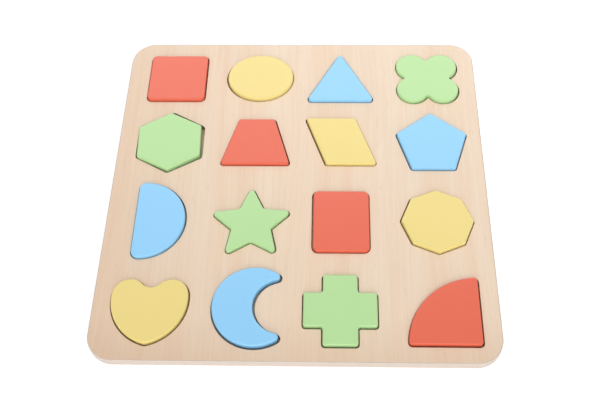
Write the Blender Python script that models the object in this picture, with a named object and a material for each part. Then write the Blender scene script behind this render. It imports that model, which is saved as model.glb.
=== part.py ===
"""Geometric shape puzzle: sixteen painted wooden shapes that lie in the recesses of a wooden board.

The board is two panels glued face to face. The upper one, the tray, is cut through with the recesses, and the
lower one backs it and is the floor that the shapes lie on. Each shape is thicker than the tray, so it stands
proud of it for the fingers, and lifts straight out. Its recess is its own outline, grown by a clearance.

Metres, +Z up, +Y to the back of the board. The origin is the middle of the board's underside.
"""

from cmath import phase, rect
from math import acos, ceil, pi, radians, sqrt, tan

import bmesh
import bpy

MM = 0.001

# The board's two panels
TRAY_THICKNESS = 5.0 * MM
BACKING_THICKNESS = 3.0 * MM
GLUE_LINE = 0.3 * MM
BOARD_CORNER_RADIUS = 20.0 * MM
BOARD_EDGE_ROUNDING = 0.8 * MM

# The wood left outside the recesses, from the board's edge to the largest recess along that side
LEFT_RIM = 13.7 * MM
RIGHT_RIM = 11.8 * MM
BACK_RIM = 13.4 * MM
FRONT_RIM = 7.4 * MM

# The wood left between the largest recesses of two columns, from the left, and of two rows, from the back
LEFT_WEB = 12.0 * MM
MIDDLE_WEB = 10.7 * MM
RIGHT_WEB = 16.7 * MM
BACK_WEB = 10.8 * MM
CENTRE_WEB = 10.6 * MM
FRONT_WEB = 9.0 * MM

# What all the shapes share
PROUD = 3.0 * MM  # what stands above the tray
FLOOR_GAP = 0.3 * MM
CLEARANCE = 0.75 * MM  # all round a shape, in its recess
EDGE_ROUNDING = 1.2 * MM
ROUNDING_LIMIT = 0.9  # the most that an edge is rounded, as a share of the outline's tightest bend
FACET_SAG = 0.05 * MM  # how far a facet may cut inside its arc
MERGED = 0.001 * MM  # points nearer than this are one point
SMOOTHED = radians(40)  # faces that meet at less than this are shaded as one surface

# Back row
SQUARE_SIDE = 49.0 * MM
SQUARE_CORNER_RADIUS = 3.8 * MM
OVAL_WIDTH = 56.5 * MM
OVAL_DEPTH = 49.2 * MM
OVAL_RIGHT = 0.3 * MM  # how far it lies to the right of the middle of its column
OVAL_RAISED = 0.5 * MM  # how far it lies behind the middle of its row
TRIANGLE_BASE = 57.8 * MM
TRIANGLE_DEPTH = 52.9 * MM
TRIANGLE_CORNER_RADIUS = 2.6 * MM
CLOVER_LOBE_RADIUS = 13.6 * MM
CLOVER_LOBE_SPREAD = 12.55 * MM  # from the middle of the clover to the middle of a lobe, along each axis
CLOVER_NOTCH_RADIUS = 1.4 * MM

# Second row
HEXAGON_WIDTH = 51.8 * MM
HEXAGON_DEPTH = 58.2 * MM
HEXAGON_SIDE = 29.8 * MM  # the two upright sides
HEXAGON_CORNER_RADIUS = 1.8 * MM
HEXAGON_CLEARANCE = 1.5 * MM  # it fits loosely
HEXAGON_TURN = radians(2)  # how far it lies turned in its recess
TRAPEZOID_FRONT = 56.4 * MM
TRAPEZOID_BACK = 29.8 * MM
TRAPEZOID_DEPTH = 45.3 * MM
TRAPEZOID_CORNER_RADIUS = 1.8 * MM
PARALLELOGRAM_SIDE = 41.1 * MM
PARALLELOGRAM_DEPTH = 46.5 * MM
PARALLELOGRAM_SLANT = 17.0 * MM  # how far the front side lies to the right of the back one
PARALLELOGRAM_CORNER_RADIUS = 1.8 * MM
PARALLELOGRAM_RAISED = 0.8 * MM
PENTAGON_WIDTH = 57.6 * MM
PENTAGON_DEPTH = 56.2 * MM
PENTAGON_FRONT = 35.2 * MM
PENTAGON_SHOULDER = 34.8 * MM  # the two side corners, measured from the front side
PENTAGON_CORNER_RADIUS = 1.8 * MM
PENTAGON_RAISED = 1.2 * MM

# Third row
HALF_DISC_RADIUS = 33.85 * MM
HALF_DISC_FLAT = 5.15 * MM  # the flat side's distance past the middle of the disc
HALF_DISC_CORNER_RADIUS = 5.8 * MM
STAR_RADIUS = 33.8 * MM  # to the points before they are rounded
STAR_INNER_RADIUS = 16.1 * MM
STAR_POINT_RADIUS = 2.3 * MM
STAR_NOTCH_RADIUS = 2.3 * MM
STAR_TURN = radians(1.3)  # how far it and its recess are turned from square with the board
STAR_LEFT = 0.2 * MM
STAR_LOWERED = 0.6 * MM
RECTANGLE_WIDTH = 43.6 * MM
RECTANGLE_DEPTH = 54.2 * MM
RECTANGLE_CORNER_RADIUS = 4.3 * MM
RECTANGLE_LOWERED = 0.4 * MM
OCTAGON_RADIUS = 28.1 * MM
OCTAGON_CORNER_RADIUS = 1.5 * MM
OCTAGON_LEFT = 0.3 * MM

# Front row
HEART_LOBE_RADIUS = 12.8 * MM
HEART_LOBE_SPREAD = 15.7 * MM  # from the middle of the heart to the middle of a lobe
HEART_SIDE_RADIUS = 37.0 * MM
HEART_DROP = 38.4 * MM  # from the middle of a lobe to the tip
HEART_TIP_RADIUS = 5.0 * MM
HEART_NOTCH_RADIUS = 9.0 * MM
HEART_LEFT = 0.4 * MM
HEART_LOWERED = 2.3 * MM
MOON_RADIUS = 31.5 * MM
MOON_HOLLOW_RADIUS = 22.1 * MM
MOON_HOLLOW_SHIFT = 20.6 * MM  # from the middle of the moon to the middle of its hollow
MOON_TIP_RADIUS = 2.7 * MM
MOON_CLEARANCE = 1.1 * MM
MOON_LEFT = 0.3 * MM
MOON_RAISED = 1.8 * MM
CROSS_WIDTH = 54.4 * MM
CROSS_DEPTH = 56.1 * MM
CROSS_UPRIGHT = 25.8 * MM
CROSS_BAR = 27.1 * MM
CROSS_CORNER_RADIUS = 1.8 * MM
CROSS_NOTCH_RADIUS = 2.0 * MM
CROSS_LEFT = 0.7 * MM
QUARTER_DISC_RADIUS = 53.6 * MM
QUARTER_DISC_TRIM = 0.7 * MM  # what its straight right side is cut back by
QUARTER_DISC_CORNER_RADIUS = 2.4 * MM

WOOD = (0.85, 0.71, 0.56)
WOOD_ROUGHNESS = 0.6
PAINT_ROUGHNESS = 0.45
RED = (0.85, 0.19, 0.12)
YELLOW = (0.96, 0.74, 0.26)
BLUE = (0.36, 0.70, 1.00)
GREEN = (0.50, 0.80, 0.36)


# Outlines. A point of the plane is a complex number. An outline is a list of (point, outward unit normal),
# anticlockwise round the shape, so that a recess is the same outline with each point moved along its normal.

def arc(centre, radius, start, end):
    """A clockwise arc bounds a hollow, so its normals point at its centre."""
    outward = 1 if end > start else -1
    steps = max(2, ceil(abs(end - start) / (2 * acos(1 - min(1, FACET_SAG / radius)))))
    turns = [rect(1, start + (end - start) * step / steps) for step in range(steps + 1)]
    return [(centre + radius * turn, outward * turn) for turn in turns]


def crossing(first, first_reach, second, second_reach):
    """The point at those distances from first and second, to the left of the way from first to second."""
    span = abs(second - first)
    along = (first_reach**2 - second_reach**2 + span**2) / (2 * span)
    return first + (second - first) / span * complex(along, sqrt(first_reach**2 - along**2))


def filleted(corners, radii):
    """A polygon given anticlockwise, with each corner rounded by its own radius."""
    outline = []
    for index, (corner, radius) in enumerate(zip(corners, radii)):
        arriving = corner - corners[index - 1]
        leaving = corners[(index + 1) % len(corners)] - corner
        bend = phase(leaving / arriving)
        side = 1 if bend > 0 else -1
        direction = arriving / abs(arriving)
        centre = corner + direction * complex(-radius * tan(abs(bend) / 2), side * radius)
        start = phase(direction) - side * pi / 2
        outline += arc(centre, radius, start, start + bend)
    return outline


def box(width, depth, radius):
    x, y = width / 2, depth / 2
    return filleted([complex(-x, -y), complex(x, -y), complex(x, y), complex(-x, y)], [radius] * 4)


def square():
    return box(SQUARE_SIDE, SQUARE_SIDE, SQUARE_CORNER_RADIUS)


def oval():
    x, y = OVAL_WIDTH / 2, OVAL_DEPTH / 2
    outline = []
    for _, turn in arc(0, (x + y) / 2, 0, 2 * pi)[:-1]:
        normal = complex(turn.real / x, turn.imag / y)
        outline.append((complex(x * turn.real, y * turn.imag), normal / abs(normal)))
    return outline


def triangle():
    x, y = TRIANGLE_BASE / 2, TRIANGLE_DEPTH / 2
    return filleted([complex(-x, -y), complex(x, -y), complex(0, y)], [TRIANGLE_CORNER_RADIUS] * 3)


def clover():
    """Four round lobes, with a small round notch between each two that touches them both."""
    reach = CLOVER_LOBE_RADIUS + CLOVER_NOTCH_RADIUS
    notch = complex(CLOVER_LOBE_SPREAD + sqrt(reach**2 - CLOVER_LOBE_SPREAD**2), 0)
    lobe = complex(CLOVER_LOBE_SPREAD, CLOVER_LOBE_SPREAD)
    lean = phase(lobe - notch)
    outline = []
    for quarter in range(4):
        turn = 1j**quarter
        heading = quarter * pi / 2
        bulge = heading + lean - pi, heading + 3 * pi / 2 - lean
        hollow = heading + pi / 2 - lean, heading + lean - 3 * pi / 2
        outline += arc(lobe * turn, CLOVER_LOBE_RADIUS, *bulge)
        outline += arc(notch * 1j * turn, CLOVER_NOTCH_RADIUS, *hollow)
    return outline


def hexagon():
    x, y, half_side = HEXAGON_WIDTH / 2, HEXAGON_DEPTH / 2, HEXAGON_SIDE / 2
    right = [complex(0, -y), complex(x, -half_side), complex(x, half_side)]
    return filleted(right + [-corner for corner in right], [HEXAGON_CORNER_RADIUS] * 6)


def trapezoid():
    front, back, y = TRAPEZOID_FRONT / 2, TRAPEZOID_BACK / 2, TRAPEZOID_DEPTH / 2
    corners = [complex(-front, -y), complex(front, -y), complex(back, y), complex(-back, y)]
    return filleted(corners, [TRAPEZOID_CORNER_RADIUS] * 4)


def parallelogram():
    x, y = PARALLELOGRAM_SIDE / 2, PARALLELOGRAM_DEPTH / 2
    lean = PARALLELOGRAM_SLANT / 2
    front = [complex(lean - x, -y), complex(lean + x, -y)]
    return filleted(front + [-corner for corner in front], [PARALLELOGRAM_CORNER_RADIUS] * 4)


def pentagon():
    front, side = PENTAGON_FRONT / 2, PENTAGON_WIDTH / 2
    corners = [
        complex(-front, 0),
        complex(front, 0),
        complex(side, PENTAGON_SHOULDER),
        complex(0, PENTAGON_DEPTH),
        complex(-side, PENTAGON_SHOULDER),
    ]
    return filleted(corners, [PENTAGON_CORNER_RADIUS] * 5)


def half_disc():
    """The disc is cut off past its middle, and both ends of the cut are rounded."""
    inner = HALF_DISC_RADIUS - HALF_DISC_CORNER_RADIUS
    x = HALF_DISC_CORNER_RADIUS - HALF_DISC_FLAT
    end = complex(x, sqrt(inner**2 - x**2))
    lean = phase(end)
    return (
        arc(0, HALF_DISC_RADIUS, -lean, lean)
        + arc(end, HALF_DISC_CORNER_RADIUS, lean, pi)
        + arc(end.conjugate(), HALF_DISC_CORNER_RADIUS, pi, 2 * pi - lean)
    )


def star():
    corners = []
    for point in range(5):
        heading = radians(90 + 72 * point) + STAR_TURN
        corners += [rect(STAR_RADIUS, heading), rect(STAR_INNER_RADIUS, heading + radians(36))]
    return filleted(corners, [STAR_POINT_RADIUS, STAR_NOTCH_RADIUS] * 5)


def rectangle():
    return box(RECTANGLE_WIDTH, RECTANGLE_DEPTH, RECTANGLE_CORNER_RADIUS)


def octagon():
    corners = [rect(OCTAGON_RADIUS, radians(45 * corner)) for corner in range(8)]
    return filleted(corners, [OCTAGON_CORNER_RADIUS] * 8)


def heart():
    """Tip, side, lobe and notch are arcs that run into each other. The left half mirrors the right one."""
    lobe = complex(HEART_LOBE_SPREAD, 0)
    tip = complex(0, HEART_TIP_RADIUS - HEART_DROP)
    side = crossing(tip, HEART_SIDE_RADIUS - HEART_TIP_RADIUS, lobe, HEART_SIDE_RADIUS - HEART_LOBE_RADIUS)
    reach = HEART_LOBE_RADIUS + HEART_NOTCH_RADIUS
    notch = complex(0, sqrt(reach**2 - HEART_LOBE_SPREAD**2))
    low, high = phase(tip - side), phase(lobe - side)
    top = phase(notch - lobe)
    half = (
        arc(tip, HEART_TIP_RADIUS, -pi / 2, low)
        + arc(side, HEART_SIDE_RADIUS, low, high)
        + arc(lobe, HEART_LOBE_RADIUS, high, top)
        + arc(notch, HEART_NOTCH_RADIUS, top - pi, -pi / 2)
    )
    return half + [(-point.conjugate(), -normal.conjugate()) for point, normal in reversed(half)]


def moon():
    """A crescent that is open to the right, with a round tip at each end."""
    hollow = complex(MOON_HOLLOW_SHIFT, 0)
    tip = crossing(0, MOON_RADIUS - MOON_TIP_RADIUS, hollow, MOON_HOLLOW_RADIUS + MOON_TIP_RADIUS)
    lean, inner = phase(tip), phase(tip - hollow)
    return (
        arc(0, MOON_RADIUS, lean, 2 * pi - lean)
        + arc(tip.conjugate(), MOON_TIP_RADIUS, -lean, pi - inner)
        + arc(hollow, MOON_HOLLOW_RADIUS, 2 * pi - inner, inner)
        + arc(tip, MOON_TIP_RADIUS, inner - pi, lean)
    )


def cross():
    x, y = CROSS_WIDTH / 2, CROSS_DEPTH / 2
    upright, bar = CROSS_UPRIGHT / 2, CROSS_BAR / 2
    lower = [
        complex(-x, -bar),
        complex(-upright, -bar),
        complex(-upright, -y),
        complex(upright, -y),
        complex(upright, -bar),
        complex(x, -bar),
    ]
    corner, notch = CROSS_CORNER_RADIUS, CROSS_NOTCH_RADIUS
    return filleted(lower + [-point for point in lower], [corner, notch, corner, corner, notch, corner] * 2)


def quarter_disc():
    """The square corner is at the front right, and the round side is opposite it, at the back left."""
    radius = QUARTER_DISC_CORNER_RADIUS
    inner = QUARTER_DISC_RADIUS - radius
    x = -QUARTER_DISC_TRIM - radius
    right = complex(x, sqrt(inner**2 - x**2))
    front = complex(-sqrt(inner**2 - radius**2), radius)
    start, end = phase(right), phase(front)
    return (
        arc(0, QUARTER_DISC_RADIUS, start, end)
        + arc(front, radius, end, 3 * pi / 2)
        + arc(complex(x, radius), radius, -pi / 2, 0)
        + arc(right, radius, 0, start)
    )


def grown(outline, distance):
    return [(point + distance * normal, normal) for point, normal in outline]


def tightest_bend(outline):
    """The least radius that an outline bulges with, from how far its normals turn from point to point."""
    radii = []
    for (before, first), (after, second) in zip(outline, outline[1:]):
        step, turn = after - before, second - first
        if (step * turn.conjugate()).real > 0:
            radii.append(abs(step) / abs(turn))
    return min(radii)


def extent(outline):
    """The middle, width and depth of the box round an outline."""
    xs = [point.real for point, _ in outline]
    ys = [point.imag for point, _ in outline]
    middle = complex(min(xs) + max(xs), min(ys) + max(ys)) / 2
    return middle, max(xs) - min(xs), max(ys) - min(ys)


class Shape:
    """A shape and its recess, both drawn about the middle of the recess.

    The lean is where the shape lies in its recess, as a share of its clearance, and the turn is how far it
    lies turned there, anticlockwise. The nudge is how far the recess lies from where the middle lines of its
    row and column cross.
    """

    def __init__(self, name, paint, outline, lean, nudge=0j, clearance=CLEARANCE, turn=0.0):
        recess = grown(outline, clearance)
        middle, self.width, self.depth = extent(recess)
        self.name = name
        self.paint = paint
        self.outline = [(point - middle) * rect(1, turn) + lean * clearance for point, _ in outline]
        self.recess = [point - middle for point, _ in recess]
        self.rounding = min(EDGE_ROUNDING, ROUNDING_LIMIT * tightest_bend(outline))
        self.nudge = nudge


# From the back row to the front one, each from left to right
ROWS = (
    (
        Shape("red_square", RED, square(), complex(0, -0.3)),
        Shape("yellow_oval", YELLOW, oval(), complex(0.5, -0.2), complex(OVAL_RIGHT, OVAL_RAISED)),
        Shape("blue_triangle", BLUE, triangle(), complex(0, -0.4)),
        Shape("green_clover", GREEN, clover(), complex(-0.5, -0.2)),
    ),
    (
        Shape(
            "green_hexagon",
            GREEN,
            hexagon(),
            complex(-0.5, -0.1),
            clearance=HEXAGON_CLEARANCE,
            turn=HEXAGON_TURN,
        ),
        Shape("red_trapezoid", RED, trapezoid(), complex(-0.3, -0.3)),
        Shape(
            "yellow_parallelogram",
            YELLOW,
            parallelogram(),
            complex(0.4, -0.3),
            complex(0, PARALLELOGRAM_RAISED),
        ),
        Shape("blue_pentagon", BLUE, pentagon(), complex(0, -0.2), complex(0, PENTAGON_RAISED)),
    ),
    (
        Shape("blue_half_disc", BLUE, half_disc(), complex(-0.2, -0.3)),
        Shape("green_star", GREEN, star(), complex(-0.2, -0.2), complex(-STAR_LEFT, -STAR_LOWERED)),
        Shape("red_rectangle", RED, rectangle(), complex(0.3, -0.3), complex(0, -RECTANGLE_LOWERED)),
        Shape("yellow_octagon", YELLOW, octagon(), complex(0.2, -0.2), complex(-OCTAGON_LEFT, 0)),
    ),
    (
        Shape("yellow_heart", YELLOW, heart(), complex(-0.2, 0.5), complex(-HEART_LEFT, -HEART_LOWERED)),
        Shape(
            "blue_moon",
            BLUE,
            moon(),
            complex(-0.4, 0.7),
            complex(-MOON_LEFT, MOON_RAISED),
            clearance=MOON_CLEARANCE,
        ),
        Shape("green_cross", GREEN, cross(), complex(0, 0.5), complex(-CROSS_LEFT, 0)),
        Shape("red_quarter_disc", RED, quarter_disc(), complex(-0.5, 0.5)),
    ),
)


def spread(sizes, webs, rim, far_rim):
    """The middles of strips of those sizes, with webs between them and rims outside, and the whole width."""
    middles = []
    reach = rim
    for size, web in zip(sizes, webs + [far_rim]):
        middles.append(reach + size / 2)
        reach += size + web
    return middles, reach


COLUMN_WIDTHS = [max(shape.width for shape in column) for column in zip(*ROWS)]
ROW_DEPTHS = [max(shape.depth for shape in row) for row in ROWS]
COLUMN_MIDDLES, BOARD_WIDTH = spread(COLUMN_WIDTHS, [LEFT_WEB, MIDDLE_WEB, RIGHT_WEB], LEFT_RIM, RIGHT_RIM)
ROW_MIDDLES, BOARD_DEPTH = spread(ROW_DEPTHS, [BACK_WEB, CENTRE_WEB, FRONT_WEB], BACK_RIM, FRONT_RIM)

TRAY_BOTTOM = BACKING_THICKNESS + GLUE_LINE
TRAY_TOP = TRAY_BOTTOM + TRAY_THICKNESS
SHAPE_BOTTOM = BACKING_THICKNESS + FLOOR_GAP
SHAPE_TOP = TRAY_TOP + PROUD


def collection(name):
    made = bpy.data.collections.new(name)
    bpy.context.scene.collection.children.link(made)
    return made


def material(name, colour, roughness):
    made = bpy.data.materials.new(name)
    made.use_nodes = True
    surface = made.node_tree.nodes["Principled BSDF"]
    surface.inputs["Base Color"].default_value = (*colour, 1)
    surface.inputs["Roughness"].default_value = roughness
    return made


def slab(name, points, bottom, top, rounding, home):
    """A plate with that outline from bottom to top, its edges rounded, with its origin in its underside."""
    curve = bpy.data.curves.new(name, "CURVE")
    curve.dimensions = "2D"
    curve.fill_mode = "BOTH"
    curve.extrude = (top - bottom) / 2 - rounding
    curve.bevel_depth = rounding
    curve.bevel_resolution = 1
    curve.offset = -rounding
    points = [point for before, point in zip(points[-1:] + points, points) if abs(point - before) > MERGED]
    spline = curve.splines.new("POLY")
    spline.points.add(len(points) - 1)
    for corner, point in zip(spline.points, points):
        corner.co = (point.real, point.imag, 0, 1)
    spline.use_cyclic_u = True
    drawn = bpy.data.objects.new(name, curve)
    home.objects.link(drawn)

    mesh = bpy.data.meshes.new_from_object(drawn.evaluated_get(bpy.context.evaluated_depsgraph_get()))
    bpy.data.objects.remove(drawn)
    bpy.data.curves.remove(curve)
    faces = bmesh.new()
    faces.from_mesh(mesh)
    bmesh.ops.remove_doubles(faces, verts=faces.verts, dist=MERGED)
    bmesh.ops.translate(faces, verts=faces.verts, vec=(0, 0, (top - bottom) / 2))
    bmesh.ops.recalc_face_normals(faces, faces=faces.faces)
    faces.to_mesh(mesh)
    faces.free()
    mesh.shade_smooth()
    mesh.set_sharp_from_angle(angle=SMOOTHED)

    plate = bpy.data.objects.new(name, mesh)
    plate.location.z = bottom
    home.objects.link(plate)
    return plate


def cutter(name, points, bottom, top):
    made = slab(name, points, bottom, top, 0, CUTTERS)
    made.hide_render = True
    made.display_type = "WIRE"
    return made


def cut(plate, name, cutters):
    group = bpy.data.collections.new(name)
    CUTTERS.children.link(group)
    for tool in cutters:
        CUTTERS.objects.unlink(tool)
        group.objects.link(tool)
    boolean = plate.modifiers.new(name, "BOOLEAN")
    boolean.operation = "DIFFERENCE"
    boolean.operand_type = "COLLECTION"
    boolean.collection = group


def board_outline():
    return [point for point, _ in box(BOARD_WIDTH, BOARD_DEPTH, BOARD_CORNER_RADIUS)]


def beyond_board():
    """A square that covers the board and passes its edges, for the cuts along the glue line."""
    reach = max(BOARD_WIDTH, BOARD_DEPTH)
    return [reach * corner for corner in (-1 - 1j, 1 - 1j, 1 + 1j, -1 + 1j)]


def placed_shapes():
    """Each shape with the middle of its recess, from the middle of the board."""
    for shapes, down in zip(ROWS, ROW_MIDDLES):
        for shape, along in zip(shapes, COLUMN_MIDDLES):
            yield shape, complex(along - BOARD_WIDTH / 2, BOARD_DEPTH / 2 - down) + shape.nudge


def make_tray():
    """The upper panel: the board's top half, with a recess right through it for each shape."""
    tray = slab("tray_panel", board_outline(), 0, TRAY_TOP, BOARD_EDGE_ROUNDING, PUZZLE)
    tools = [cutter("below_tray", beyond_board(), -TRAY_TOP, TRAY_BOTTOM)]
    for shape, place in placed_shapes():
        recess = [place + point for point in shape.recess]
        tools.append(cutter(shape.name + "_recess", recess, 0, TRAY_TOP + TRAY_THICKNESS))
    cut(tray, "recesses", tools)
    return tray


def make_backing():
    """The lower panel, which closes the recesses from below."""
    backing = slab("backing_panel", board_outline(), 0, TRAY_TOP, BOARD_EDGE_ROUNDING, PUZZLE)
    cut(backing, "glue_face", [cutter("above_backing", beyond_board(), BACKING_THICKNESS, 2 * TRAY_TOP)])
    return backing


def make_shape(shape, place):
    """A painted shape, with its origin on the line that it lifts along, over the middle of its recess."""
    made = slab(shape.name, shape.outline, SHAPE_BOTTOM, SHAPE_TOP, shape.rounding, PUZZLE)
    made.location.x = place.real
    made.location.y = place.imag
    made.data.materials.append(PAINTS[shape.paint])
    return made


for old in list(bpy.data.objects):
    bpy.data.objects.remove(old)
PUZZLE = collection("geometric_shape_puzzle")
CUTTERS = collection("cutters")

PAINTS = {
    RED: material("red_paint", RED, PAINT_ROUGHNESS),
    YELLOW: material("yellow_paint", YELLOW, PAINT_ROUGHNESS),
    BLUE: material("blue_paint", BLUE, PAINT_ROUGHNESS),
    GREEN: material("green_paint", GREEN, PAINT_ROUGHNESS),
}

board = bpy.data.objects.new("board", None)
PUZZLE.objects.link(board)
wood = material("bare_wood", WOOD, WOOD_ROUGHNESS)
for panel in (make_tray(), make_backing()):
    panel.data.materials.append(wood)
    panel.parent = board
for lying_shape, recess_middle in placed_shapes():
    make_shape(lying_shape, recess_middle).parent = board
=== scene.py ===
"""The looks of the geometric shape puzzle: a sawn plywood board with sixteen painted shapes lying in it."""

from math import cos, pi, radians, sin

import bmesh
import bpy
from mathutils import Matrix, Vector


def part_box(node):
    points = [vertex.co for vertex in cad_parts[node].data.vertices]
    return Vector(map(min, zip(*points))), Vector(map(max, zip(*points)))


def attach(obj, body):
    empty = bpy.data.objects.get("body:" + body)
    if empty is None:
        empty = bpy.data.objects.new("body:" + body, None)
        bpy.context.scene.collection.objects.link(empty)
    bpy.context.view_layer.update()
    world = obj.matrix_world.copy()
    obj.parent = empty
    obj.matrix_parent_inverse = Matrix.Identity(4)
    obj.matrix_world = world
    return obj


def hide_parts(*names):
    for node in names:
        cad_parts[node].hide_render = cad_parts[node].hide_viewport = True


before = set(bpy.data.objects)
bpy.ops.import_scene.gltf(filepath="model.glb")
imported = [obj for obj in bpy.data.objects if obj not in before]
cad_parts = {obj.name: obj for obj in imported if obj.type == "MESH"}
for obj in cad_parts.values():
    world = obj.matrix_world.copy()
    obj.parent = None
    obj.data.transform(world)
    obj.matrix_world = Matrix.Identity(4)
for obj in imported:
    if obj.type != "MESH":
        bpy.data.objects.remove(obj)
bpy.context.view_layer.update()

# Backing panel
# The lower of the board's two plywood sheets. It is three plies thick, closes the recesses from below and
# is the floor that the shapes lie on. Its lower edge is sanded round, and its upper one meets the glue.

BACKING_EDGE_ROUNDING = 0.0008
BACKING_PLIES = 3
BACKING_GRAIN_SHIFT = 0.4
ROUNDING_STEPS = 5
POINTS_MEET = 1e-6
LEAST_BEND = radians(1)
LEAST_SHARP_EDGE = radians(40)


def sawn_outlines(node, height):
    """The saw's paths round a solid at a height: closed rings of points, with the wood on their left."""
    mesh = bmesh.new()
    mesh.from_mesh(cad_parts[node].data)
    bmesh.ops.remove_doubles(mesh, verts=mesh.verts, dist=POINTS_MEET)
    whole = mesh.verts[:] + mesh.edges[:] + mesh.faces[:]
    bmesh.ops.bisect_plane(
        mesh, geom=whole, plane_co=(0, 0, height), plane_no=(0, 0, 1), clear_inner=True, clear_outer=True
    )
    rings = []
    # A dict keeps its order, so each run starts the rings at the same points.
    unused = dict.fromkeys(mesh.verts)
    while unused:
        ring = [unused.popitem()[0]]
        while True:
            ahead = [edge.other_vert(ring[-1]) for edge in ring[-1].link_edges]
            ahead = [vertex for vertex in ahead if vertex in unused]
            if not ahead:
                break
            ring.append(ahead[0])
            del unused[ahead[0]]
        points = [vertex.co.xy.copy() for vertex in ring]
        rings.append([at for before, at, after in neighbours(points) if bends(before, at, after)])
    mesh.free()
    rings.sort(key=lambda ring: abs(ring_area(ring)), reverse=True)
    return [ring if (ring_area(ring) > 0) == (index == 0) else ring[::-1] for index, ring in enumerate(rings)]


def neighbours(points):
    return zip(points[-1:] + points[:-1], points, points[1:] + points[:1])


def bends(before, at, after):
    return (at - before).angle(after - at) > LEAST_BEND


def ring_area(points):
    return sum(before.cross(at) for before, at, _ in neighbours(points)) / 2


def inset(points, distance):
    """A ring moved into the wood by a distance, each side parallel to where it was."""
    moved = []
    for before, at, after in neighbours(points):
        arriving, leaving = (at - before).normalized(), (after - at).normalized()
        middle = (arriving + leaving).normalized()
        inward = Vector((-middle.y, middle.x))
        moved.append(at + inward * distance / middle.dot(leaving))
    return moved


def rounded(bottom, top, under, over, steps=ROUNDING_STEPS):
    """An edge's profile from its underside to its top, as (inset, height), rounded below and above."""
    turns = [radians(90) * step / steps for step in range(steps + 1)]
    low = [(0, bottom)]
    if under:
        low = [(under * (1 - sin(turn)), bottom + under * (1 - cos(turn))) for turn in turns]
    high = [(0, top)]
    if over:
        high = [(over * (1 - cos(turn)), top - over * (1 - sin(turn))) for turn in turns]
    return low + high


def panel(name, rings, profiles, materials):
    """A flat piece. Its first ring bounds it and the others are holes, each with its own edge profile.

    Material slot 0 is for its two faces, and a profile names the slot for its edge.
    """
    mesh = bmesh.new()
    ends = ([], [])
    for ring, (profile, slot) in zip(rings, profiles):
        loops = [[mesh.verts.new((*at, height)) for at in inset(ring, depth)] for depth, height in profile]
        for lower, upper in zip(loops, loops[1:]):
            for index in range(len(ring)):
                wall = mesh.faces.new((lower[index - 1], lower[index], upper[index], upper[index - 1]))
                wall.material_index = slot
        for end, loop in zip(ends, (loops[0], loops[-1])):
            end += [mesh.edges.get((loop[index - 1], loop[index])) for index in range(len(loop))]
    for end, up in zip(ends, (-1, 1)):
        filled = bmesh.ops.triangle_fill(mesh, use_beauty=True, edges=end, normal=(0, 0, up))
        for face in filled["geom"]:
            if isinstance(face, bmesh.types.BMFace):
                face.material_index = 0
    bmesh.ops.recalc_face_normals(mesh, faces=mesh.faces)
    made = bpy.data.meshes.new(name)
    mesh.to_mesh(made)
    mesh.free()
    made.shade_smooth()
    made.set_sharp_from_angle(angle=LEAST_SHARP_EDGE)
    for material in materials:
        made.materials.append(material)
    piece = bpy.data.objects.new(name, made)
    bpy.context.scene.collection.objects.link(piece)
    shading = piece.modifiers.new("flat_faces_stay_flat", "WEIGHTED_NORMAL")
    shading.weight = 100
    shading.keep_sharp = True
    return piece


def socketed_group(name, inputs, outputs):
    group = bpy.data.node_groups.new(name, "ShaderNodeTree")
    for label, value in inputs.items():
        socket = group.interface.new_socket(label, in_out="INPUT", socket_type="NodeSocketFloat")
        socket.default_value = value
    for label in outputs:
        group.interface.new_socket(label, in_out="OUTPUT", socket_type="NodeSocketFloat")
    group.nodes.new("NodeGroupInput")
    group.nodes.new("NodeGroupOutput")
    return group


class Wiring:
    """A node tree, with short calls that each place a node, set or link its inputs, and give its output."""

    def __init__(self, tree):
        self.tree = tree

    def node(self, kind, output=0, inputs=(), **settings):
        made = self.tree.nodes.new(kind)
        for setting, value in settings.items():
            setattr(made, setting, value)
        for socket, value in dict(inputs).items():
            self.feed(made.inputs[socket], value)
        return made.outputs[output]

    def effect(self, group, values):
        """A shared effect, placed here with its own values. Gives all its outputs."""
        placed = self.tree.nodes.new("ShaderNodeGroup")
        placed.node_tree = group
        for socket, value in values.items():
            placed.inputs[socket].default_value = value
        return placed.outputs

    def feed(self, socket, value):
        if isinstance(value, bpy.types.NodeSocket):
            self.tree.links.new(value, socket)
        else:
            socket.default_value = value

    def maths(self, operation, *values):
        return self.node("ShaderNodeMath", inputs=dict(enumerate(values)), operation=operation)

    def share(self, value, share):
        return self.maths("MULTIPLY", value, share)

    def noise(self, at, scale=1.0, detail=2.0, roughness=0.5):
        inputs = {"Vector": at, "Scale": scale, "Detail": detail, "Roughness": roughness}
        return self.node("ShaderNodeTexNoise", inputs=inputs)

    def stretched(self, at, per_metre):
        """Coordinates for a texture that repeats so often along each axis: fewer times makes it longer."""
        return self.node("ShaderNodeMapping", inputs={"Vector": at, "Scale": per_metre})

    def ramp(self, value, low, high, bottom=0.0, top=1.0):
        inputs = {"Value": value, "From Min": low, "From Max": high, "To Min": bottom, "To Max": top}
        return self.node("ShaderNodeMapRange", inputs=inputs)

    def mix(self, share, first, second, blend="MIX"):
        inputs = {"Factor": share, 6: first, 7: second}
        return self.node("ShaderNodeMix", 2, inputs, data_type="RGBA", blend_type=blend)

    def bump(self, height, distance, strength):
        inputs = {"Height": height, "Distance": distance, "Strength": strength}
        return self.node("ShaderNodeBump", inputs=inputs)


WANDERS_PER_METRE = (14, 3.5, 14)
WANDER_REACH = 0.02
BANDS_PER_METRE = (70, 2.2, 70)
FIBRES_PER_METRE = (900, 16, 900)
PORES_PER_METRE = (1500, 90, 1500)
NOISE_SPAN = (0.3, 0.7)
FIBRE_SPAN = (0.25, 0.75)
PORE_SPAN = (0.68, 0.78)


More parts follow.
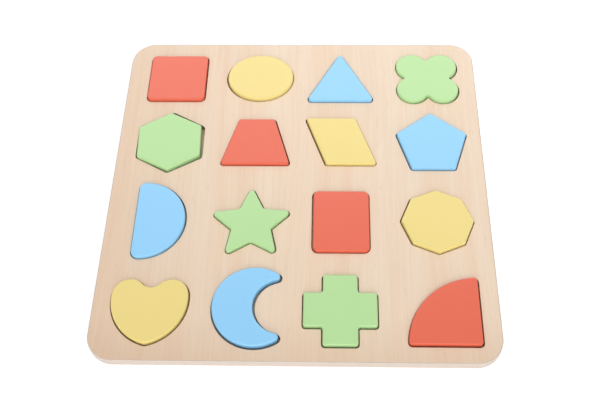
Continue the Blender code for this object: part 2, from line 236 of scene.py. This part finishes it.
def veneer_grain():
    """Sliced veneer, running to the board's back: pale and tan bands, fine fibres and short dark pores."""
    group = socketed_group("veneer_grain", {"Shift": 0.0}, ["Bands", "Fibres", "Pores"])
    wiring = Wiring(group)
    place = wiring.node("ShaderNodeTexCoord", "Object")
    aside = wiring.node("ShaderNodeCombineXYZ", inputs={"Z": group.nodes["Group Input"].outputs["Shift"]})
    moved = wiring.node("ShaderNodeVectorMath", inputs={0: place, 1: aside}, operation="ADD")
    wander = wiring.noise(wiring.stretched(moved, WANDERS_PER_METRE), detail=1.0)
    sway = wiring.node("ShaderNodeCombineXYZ", inputs={"X": wiring.share(wander, WANDER_REACH)})
    along = wiring.node("ShaderNodeVectorMath", inputs={0: moved, 1: sway}, operation="ADD")
    bands = wiring.noise(wiring.stretched(along, BANDS_PER_METRE), detail=3.0, roughness=0.55)
    fibres = wiring.noise(wiring.stretched(along, FIBRES_PER_METRE), detail=3.0, roughness=0.6)
    pores = wiring.noise(wiring.stretched(along, PORES_PER_METRE), detail=1.0)
    out = group.nodes["Group Output"]
    wiring.feed(out.inputs["Bands"], wiring.ramp(bands, *NOISE_SPAN))
    wiring.feed(out.inputs["Fibres"], wiring.ramp(fibres, *FIBRE_SPAN))
    wiring.feed(out.inputs["Pores"], wiring.ramp(pores, *PORE_SPAN))
    return group


VENEER_GRAIN = veneer_grain()
VENEER_PALE = (0.886, 0.728, 0.570, 1)
VENEER_TAN = (0.856, 0.626, 0.444, 1)
TAN_DEPTH = 0.7
FIBRE_STAIN = (0.82, 0.70, 0.60, 1)
FIBRE_DEPTH = 0.32
FIBRE_RELIEF = 0.00003
VENEER_PORE = (0.60, 0.43, 0.28, 1)
PORE_DEPTH = 0.35
# Painted shade: the plywood face is made darker towards its left and its front, where less light falls.
VENEER_PAINTED_SHADE = (0.70, 0.50, 0.35, 1)
PAINTED_SHADE_SIDE = (-0.03, -0.16)
PAINTED_SHADE_SIDE_DEPTH = 0.33
PAINTED_SHADE_END = (-0.115, -0.155)
PAINTED_SHADE_END_DEPTH = 0.5
VENEER_ROUGHNESS = (0.42, 0.55)


def new_material(name):
    material = bpy.data.materials.new(name)
    material.use_nodes = True
    return material, Wiring(material.node_tree), material.node_tree.nodes["Principled BSDF"]


def veneer(name, shift=0.0):
    """A sanded and nearly matt face of the plywood, with painted shade darkening it to the left and the
    front.
    """
    material, wiring, surface = new_material(name)
    grain = wiring.effect(VENEER_GRAIN, {"Shift": shift})
    ground = wiring.mix(wiring.share(grain["Bands"], TAN_DEPTH), VENEER_PALE, VENEER_TAN)
    place = wiring.node("ShaderNodeTexCoord", "Object")
    across = wiring.node("ShaderNodeSeparateXYZ", "X", {"Vector": place})
    along = wiring.node("ShaderNodeSeparateXYZ", "Y", {"Vector": place})
    # Painted shade, deepest at the left and the front of the face.
    side = wiring.ramp(across, *PAINTED_SHADE_SIDE, 0.0, PAINTED_SHADE_SIDE_DEPTH)
    end = wiring.ramp(along, *PAINTED_SHADE_END, 0.0, PAINTED_SHADE_END_DEPTH)
    shade_toned = wiring.mix(wiring.maths("ADD", side, end), ground, VENEER_PAINTED_SHADE)
    combed = wiring.mix(wiring.share(grain["Fibres"], FIBRE_DEPTH), shade_toned, FIBRE_STAIN, blend="MULTIPLY")
    pored = wiring.mix(wiring.share(grain["Pores"], PORE_DEPTH), combed, VENEER_PORE)
    wiring.feed(surface.inputs["Base Color"], pored)
    wiring.feed(surface.inputs["Roughness"], wiring.ramp(grain["Fibres"], 0, 1, *VENEER_ROUGHNESS))
    wiring.feed(surface.inputs["Normal"], wiring.bump(grain["Fibres"], FIBRE_RELIEF, strength=0.5))
    return material


PLY_WAVES_PER_METRE = (60, 60, 5)
PLY_WAVE = 0.00022
GLUED_SHARE = 0.06
LONG_GRAIN_PER_METRE = (90, 90, 3500)
END_GRAIN_PER_METRE = (2600, 2600, 1500)


def plies():
    """The sawn edge of plywood: long and end grain by turns, and a thin dark glue line between two plies."""
    group = socketed_group("plies", {"Bottom": 0.0, "Ply": 0.001}, ["End Grain", "Glue", "Streaks"])
    wiring = Wiring(group)
    given = group.nodes["Group Input"].outputs
    place = wiring.node("ShaderNodeTexCoord", "Object")
    height = wiring.node("ShaderNodeSeparateXYZ", "Z", {"Vector": place})
    waver = wiring.share(wiring.noise(wiring.stretched(place, PLY_WAVES_PER_METRE)), PLY_WAVE)
    above = wiring.maths("SUBTRACT", wiring.maths("ADD", height, waver), given["Bottom"])
    count = wiring.maths("DIVIDE", wiring.maths("SUBTRACT", above, PLY_WAVE / 2), given["Ply"])
    within = wiring.maths("FRACT", count)
    turned = wiring.maths("GREATER_THAN", wiring.maths("MODULO", count, 2.0), 1.0)
    from_line = wiring.maths("MINIMUM", within, wiring.maths("SUBTRACT", 1.0, within))
    glue = wiring.ramp(from_line, 0.0, GLUED_SHARE, 1.0, 0.0)
    inside = wiring.maths("GREATER_THAN", count, 0.5)
    long_grain = wiring.noise(wiring.stretched(place, LONG_GRAIN_PER_METRE), detail=3.0, roughness=0.6)
    end_grain = wiring.noise(wiring.stretched(place, END_GRAIN_PER_METRE), roughness=0.7)
    streaks = wiring.node("ShaderNodeMix", inputs={"Factor": turned, 2: long_grain, 3: end_grain})
    out = group.nodes["Group Output"]
    wiring.feed(out.inputs["End Grain"], turned)
    wiring.feed(out.inputs["Glue"], wiring.maths("MULTIPLY", glue, inside))
    wiring.feed(out.inputs["Streaks"], wiring.ramp(streaks, *NOISE_SPAN))
    return group


PLIES = plies()
EDGE_PALE = (0.69, 0.60, 0.535, 1)
EDGE_END_GRAIN = (0.595, 0.485, 0.405, 1)
END_GRAIN_DEPTH = 0.55
STREAK_DEPTH = 0.3
EDGE_GLUE = (0.36, 0.24, 0.15, 1)
GLUE_DEPTH = 0.6
EDGE_ROUGHNESS = 0.62
EDGE_RELIEF = 0.00006


def sawn_edge(name, bottom, ply):
    """The edge of one panel, whose plies are counted from its bottom."""
    material, wiring, surface = new_material(name)
    edge = wiring.effect(PLIES, {"Bottom": bottom, "Ply": ply})
    plain = wiring.mix(wiring.share(edge["End Grain"], END_GRAIN_DEPTH), EDGE_PALE, EDGE_END_GRAIN)
    streaked = wiring.mix(wiring.share(edge["Streaks"], STREAK_DEPTH), plain, EDGE_END_GRAIN)
    glued = wiring.mix(wiring.share(edge["Glue"], GLUE_DEPTH), streaked, EDGE_GLUE)
    wiring.feed(surface.inputs["Base Color"], glued)
    surface.inputs["Roughness"].default_value = EDGE_ROUGHNESS
    wiring.feed(surface.inputs["Normal"], wiring.bump(edge["Streaks"], EDGE_RELIEF, strength=0.6))
    return material


def stand_for(piece, node, body):
    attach(piece, body)
    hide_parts(node)


backing_low, backing_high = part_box("backing_panel")
backing_thickness = backing_high.z - backing_low.z
backing = panel(
    "backing_panel_sheet",
    sawn_outlines("backing_panel", backing_thickness / 2),
    [(rounded(0, backing_high.z, BACKING_EDGE_ROUNDING, 0), 1)],
    [
        veneer("backing_veneer", BACKING_GRAIN_SHIFT),
        sawn_edge("backing_edge", 0.0, backing_thickness / BACKING_PLIES),
    ],
)
stand_for(backing, "backing_panel", "board")

# Tray panel
# The upper sheet, five plies thick. Sixteen openings are cut right through it, one for each shape, and the
# cutter leaves their walls brown; they are painted browner still, as painted shade in the gaps round the
# shapes. Its top edge is sanded round, and the openings' rims are just eased.

TRAY_EDGE_ROUNDING = 0.0008
TRAY_PLIES = 5
RIM_EASING = 0.00025
RIM_STEPS = 2
# Part scorch and part painted shade: the walls are darker than the cutter leaves them, to stand for the gaps'
# shade.
SCORCH_AND_SHADE_BROWN = (0.13, 0.07, 0.035, 1)
SCORCH_STROKES_PER_METRE = (1400, 1400, 60)
SCORCH_SPAN = (0.2, 0.8)
SCORCH_AND_SHADE_LEAST = 0.6375
SCORCH_AND_SHADE_MOST = 0.85


def scorch_and_shade(edge):
    """Browns a sawn edge in strokes down the wall, as the cutter does, and darker still as painted shade."""
    wiring = Wiring(edge.node_tree)
    colour = edge.node_tree.nodes["Principled BSDF"].inputs["Base Color"]
    place = wiring.node("ShaderNodeTexCoord", "Object")
    strokes = wiring.noise(wiring.stretched(place, SCORCH_STROKES_PER_METRE))
    burn_and_shade = wiring.ramp(strokes, *SCORCH_SPAN, SCORCH_AND_SHADE_LEAST, SCORCH_AND_SHADE_MOST)
    wiring.feed(colour, wiring.mix(burn_and_shade, colour.links[0].from_socket, SCORCH_AND_SHADE_BROWN))
    return edge


tray_low, tray_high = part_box("tray_panel")
tray_ply = (tray_high.z - tray_low.z) / TRAY_PLIES
tray_rings = sawn_outlines("tray_panel", (tray_low.z + tray_high.z) / 2)
tray_edge = (rounded(tray_low.z, tray_high.z, 0, TRAY_EDGE_ROUNDING), 1)
opening_edge = (rounded(tray_low.z, tray_high.z, 0, RIM_EASING, RIM_STEPS), 2)
tray = panel(
    "tray_panel_sheet",
    tray_rings,
    [tray_edge] + [opening_edge] * (len(tray_rings) - 1),
    [
        veneer("tray_veneer"),
        sawn_edge("tray_edge", tray_low.z, tray_ply),
        scorch_and_shade(sawn_edge("opening_wall", tray_low.z, tray_ply)),
    ],
)
stand_for(tray, "tray_panel", "board")

# Glue line
# The film of wood glue that holds the tray down on the backing. It has set amber, and it stops a little
# short of every edge, so it shows as a fine dark seam round the board and at the foot of each opening.

GLUE_SET_BACK = 0.00018
GLUE_AMBER = (0.42, 0.30, 0.19, 1)
GLUE_DARK = (0.27, 0.18, 0.11, 1)
GLUE_BLOTS_PER_METRE = 350.0
GLUE_BLOT_SPAN = (0.35, 0.65)
GLUE_ROUGHNESS = 0.4

glue, glue_wiring, glue_surface = new_material("set_wood_glue")
glue_place = glue_wiring.node("ShaderNodeTexCoord", "Object")
glue_noise = glue_wiring.noise(glue_place, GLUE_BLOTS_PER_METRE, detail=3.0)
glue_blots = glue_wiring.ramp(glue_noise, *GLUE_BLOT_SPAN)
glue_wiring.feed(glue_surface.inputs["Base Color"], glue_wiring.mix(glue_blots, GLUE_AMBER, GLUE_DARK))
glue_surface.inputs["Roughness"].default_value = GLUE_ROUGHNESS
film = panel(
    "glue_line",
    tray_rings,
    [([(GLUE_SET_BACK, backing_high.z), (GLUE_SET_BACK, tray_low.z)], 0)] * len(tray_rings),
    [glue],
)
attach(film, "board")

# Painted shapes
# Sixteen pieces of plywood, 8 mm thick, each sawn to its outline, sanded round at both edges and sprayed
# all over with a satin paint. The wood's grain shows faintly through the paint.

PAINT_CLOUDS_PER_METRE = 28.0
PAINT_CLOUD_DEPTH = 0.5
SHAPE_GRAIN_SHIFT = 1.7
GRAIN_SHOWING = 0.35
GRAIN_RELIEF = 0.00002
SPRAY_PER_METRE = 1600.0
SPRAY_RELIEF = 0.000012
PAINT_ROUGHNESS = (0.36, 0.46)


def satin_paint(name, colour, deep):
    """Sprayed paint, a little deeper in soft clouds and along the grain under it."""
    material, wiring, surface = new_material(name)
    grain = wiring.effect(VENEER_GRAIN, {"Shift": SHAPE_GRAIN_SHIFT})
    place = wiring.node("ShaderNodeTexCoord", "Object")
    soft = wiring.noise(place, PAINT_CLOUDS_PER_METRE)
    cloudy = wiring.mix(wiring.ramp(soft, *NOISE_SPAN, 0.0, PAINT_CLOUD_DEPTH), colour, deep)
    grained = wiring.mix(wiring.share(grain["Bands"], GRAIN_SHOWING), cloudy, deep)
    wiring.feed(surface.inputs["Base Color"], grained)
    spray = wiring.noise(place, SPRAY_PER_METRE)
    wiring.feed(surface.inputs["Roughness"], wiring.ramp(spray, *NOISE_SPAN, *PAINT_ROUGHNESS))
    fine = wiring.bump(spray, SPRAY_RELIEF, strength=0.5)
    grain_bump = wiring.node(
        "ShaderNodeBump",
        inputs={"Height": grain["Fibres"], "Distance": GRAIN_RELIEF, "Strength": 0.4, "Normal": fine},
    )
    wiring.feed(surface.inputs["Normal"], grain_bump)
    return material


PAINTS = {
    "red": satin_paint("red_paint_on_wood", (0.835, 0.146, 0.078, 1), (0.815, 0.134, 0.068, 1)),
    "yellow": satin_paint("yellow_paint_on_wood", (0.90, 0.725, 0.252, 1), (0.885, 0.71, 0.235, 1)),
    "blue": satin_paint("blue_paint_on_wood", (0.305, 0.668, 1.0, 1), (0.288, 0.65, 0.985, 1)),
    "green": satin_paint("green_paint_on_wood", (0.495, 0.772, 0.352, 1), (0.478, 0.755, 0.335, 1)),
}


def edge_rounding(node):
    """The radius that a shape's edges are sanded to: from its top down to where its wall is upright."""
    heights = sorted({round(vertex.co.z, 6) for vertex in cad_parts[node].data.vertices})
    middle = (heights[0] + heights[-1]) / 2
    return heights[-1] - min(height for height in heights if height > middle)


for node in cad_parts:
    colour = node.split("_")[0]
    if colour in PAINTS:
        shape_low, shape_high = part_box(node)
        radius = edge_rounding(node)
        shape = panel(
            node + "_painted",
            sawn_outlines(node, (shape_low.z + shape_high.z) / 2),
            [(rounded(shape_low.z, shape_high.z, radius, radius), 0)],
            [PAINTS[colour]],
        )
        stand_for(shape, node, node)

# Studio
# A sheet of white paper in a tent of soft light, brightest from the front. A soft box past the far end of
# the board evens the light, and the shine of a bright backdrop fades from the back of the board to its front.

CAMERA_PLACE = (0.02359, -0.36964, 0.57319)
CAMERA_TURN = (radians(31.917), radians(1.0745), radians(1.0466))
CAMERA_LENS = 49.61
CAMERA_SENSOR = 36.0
PAPER_SIZE = 12.0
PAPER_HEIGHT = -0.0002
PAPER_WHITE = (0.92, 0.92, 0.92, 1)
PAPER_ROUGHNESS = 0.9
PAPER_GLOW = 0.3

camera = bpy.data.objects.new("camera", bpy.data.cameras.new("camera"))
bpy.context.scene.collection.objects.link(camera)
camera.location = CAMERA_PLACE
camera.rotation_euler = CAMERA_TURN
camera.data.lens = CAMERA_LENS
camera.data.sensor_width = CAMERA_SENSOR
camera.data.clip_start = 0.01
bpy.context.scene.camera = camera

bpy.ops.mesh.primitive_plane_add(size=PAPER_SIZE, location=(0, 0, PAPER_HEIGHT))
floor = bpy.context.object
floor.name = "sweep"
paper, _, paper_surface = new_material("white_paper")
paper_surface.inputs["Base Color"].default_value = PAPER_WHITE
paper_surface.inputs["Roughness"].default_value = PAPER_ROUGHNESS
paper_surface.inputs["Emission Color"].default_value = (1, 1, 1, 1)
paper_surface.inputs["Emission Strength"].default_value = PAPER_GLOW
floor.data.materials.append(paper)


def softbox(name, place, size, radiance, diffuse=True, glossy=True):
    """A soft light aimed at the board. One that isn't diffuse only shows in the shine of paint and wood."""
    light = bpy.data.objects.new(name, bpy.data.lights.new(name, "AREA"))
    bpy.context.scene.collection.objects.link(light)
    light.data.shape = "RECTANGLE"
    light.data.size, light.data.size_y = size
    light.data.energy = radiance * pi * size[0] * size[1]
    light.location = place
    light.rotation_euler = (-Vector(place)).to_track_quat("-Z", "Y").to_euler()
    light.visible_camera = False
    light.visible_diffuse = diffuse
    light.visible_glossy = glossy


softbox("backdrop_shine", place=(0.0, 1.5, 1.0), size=(3.0, 1.6), radiance=2.6, diffuse=False)
softbox("far_end_light", place=(0.25, 0.5, 0.9), size=(0.8, 0.5), radiance=1.8, glossy=False)

TENT_GLOW = 0.42
FRONT_GLOW = 2.15
FRONT_OF_TENT = (0.0, -0.77, 0.64)
FRONT_EDGE_COSINE = 0.6

world = bpy.data.worlds.new("tent")
bpy.context.scene.world = world
world.use_nodes = True
background = world.node_tree.nodes["Background"]
tent = Wiring(world.node_tree)
direction = tent.node("ShaderNodeTexCoord", "Generated")
facing = tent.node(
    "ShaderNodeVectorMath", "Value", {0: direction, 1: FRONT_OF_TENT}, operation="DOT_PRODUCT"
)
tent.feed(background.inputs["Strength"], tent.ramp(facing, FRONT_EDGE_COSINE, 1.0, TENT_GLOW, FRONT_GLOW))
background.inputs["Color"].default_value = (1, 1, 1, 1)
bpy.context.scene.view_settings.view_transform = "Standard"
